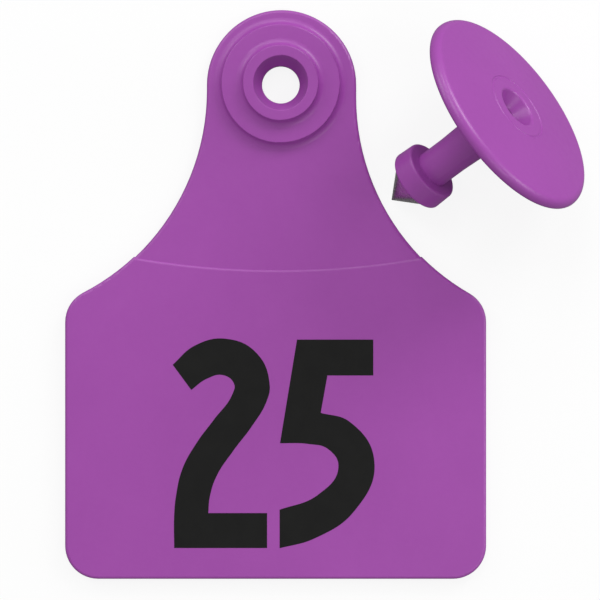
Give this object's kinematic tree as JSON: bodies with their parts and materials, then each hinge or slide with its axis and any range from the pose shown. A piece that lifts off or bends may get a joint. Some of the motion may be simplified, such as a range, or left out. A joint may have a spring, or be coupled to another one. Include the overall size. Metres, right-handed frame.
{
  "type": "livestock ear tag",
  "caption": "Two-piece livestock ear tag: a flat moulded panel with a stepped boss round its hole, and a separate disc-headed stud with a metal piercing point.",
  "frame": {"origin": "on the axis of the panel's hole, at the panel's back face", "axes": "+Z out of the printed side along the hole's axis, +Y from the printed field to the hole, +X to the right seen from the printed side"},
  "size_m": [0.0695, 0.077, 0.0246],
  "materials": {
    "panel_plastic": "satin moulded flexible polyurethane, purple",
    "stud_plastic": "satin moulded polyurethane, purple, slightly glossier than the panel",
    "tip_metal": "turned, fine grooves round the cone",
    "print_ink": "flat black marking ink"
  },
  "bodies": {
    "root": {"tag_panel": "panel_plastic", "button_stud": "stud_plastic", "metal_tip": "tip_metal"}
  },
  "joints": []
}
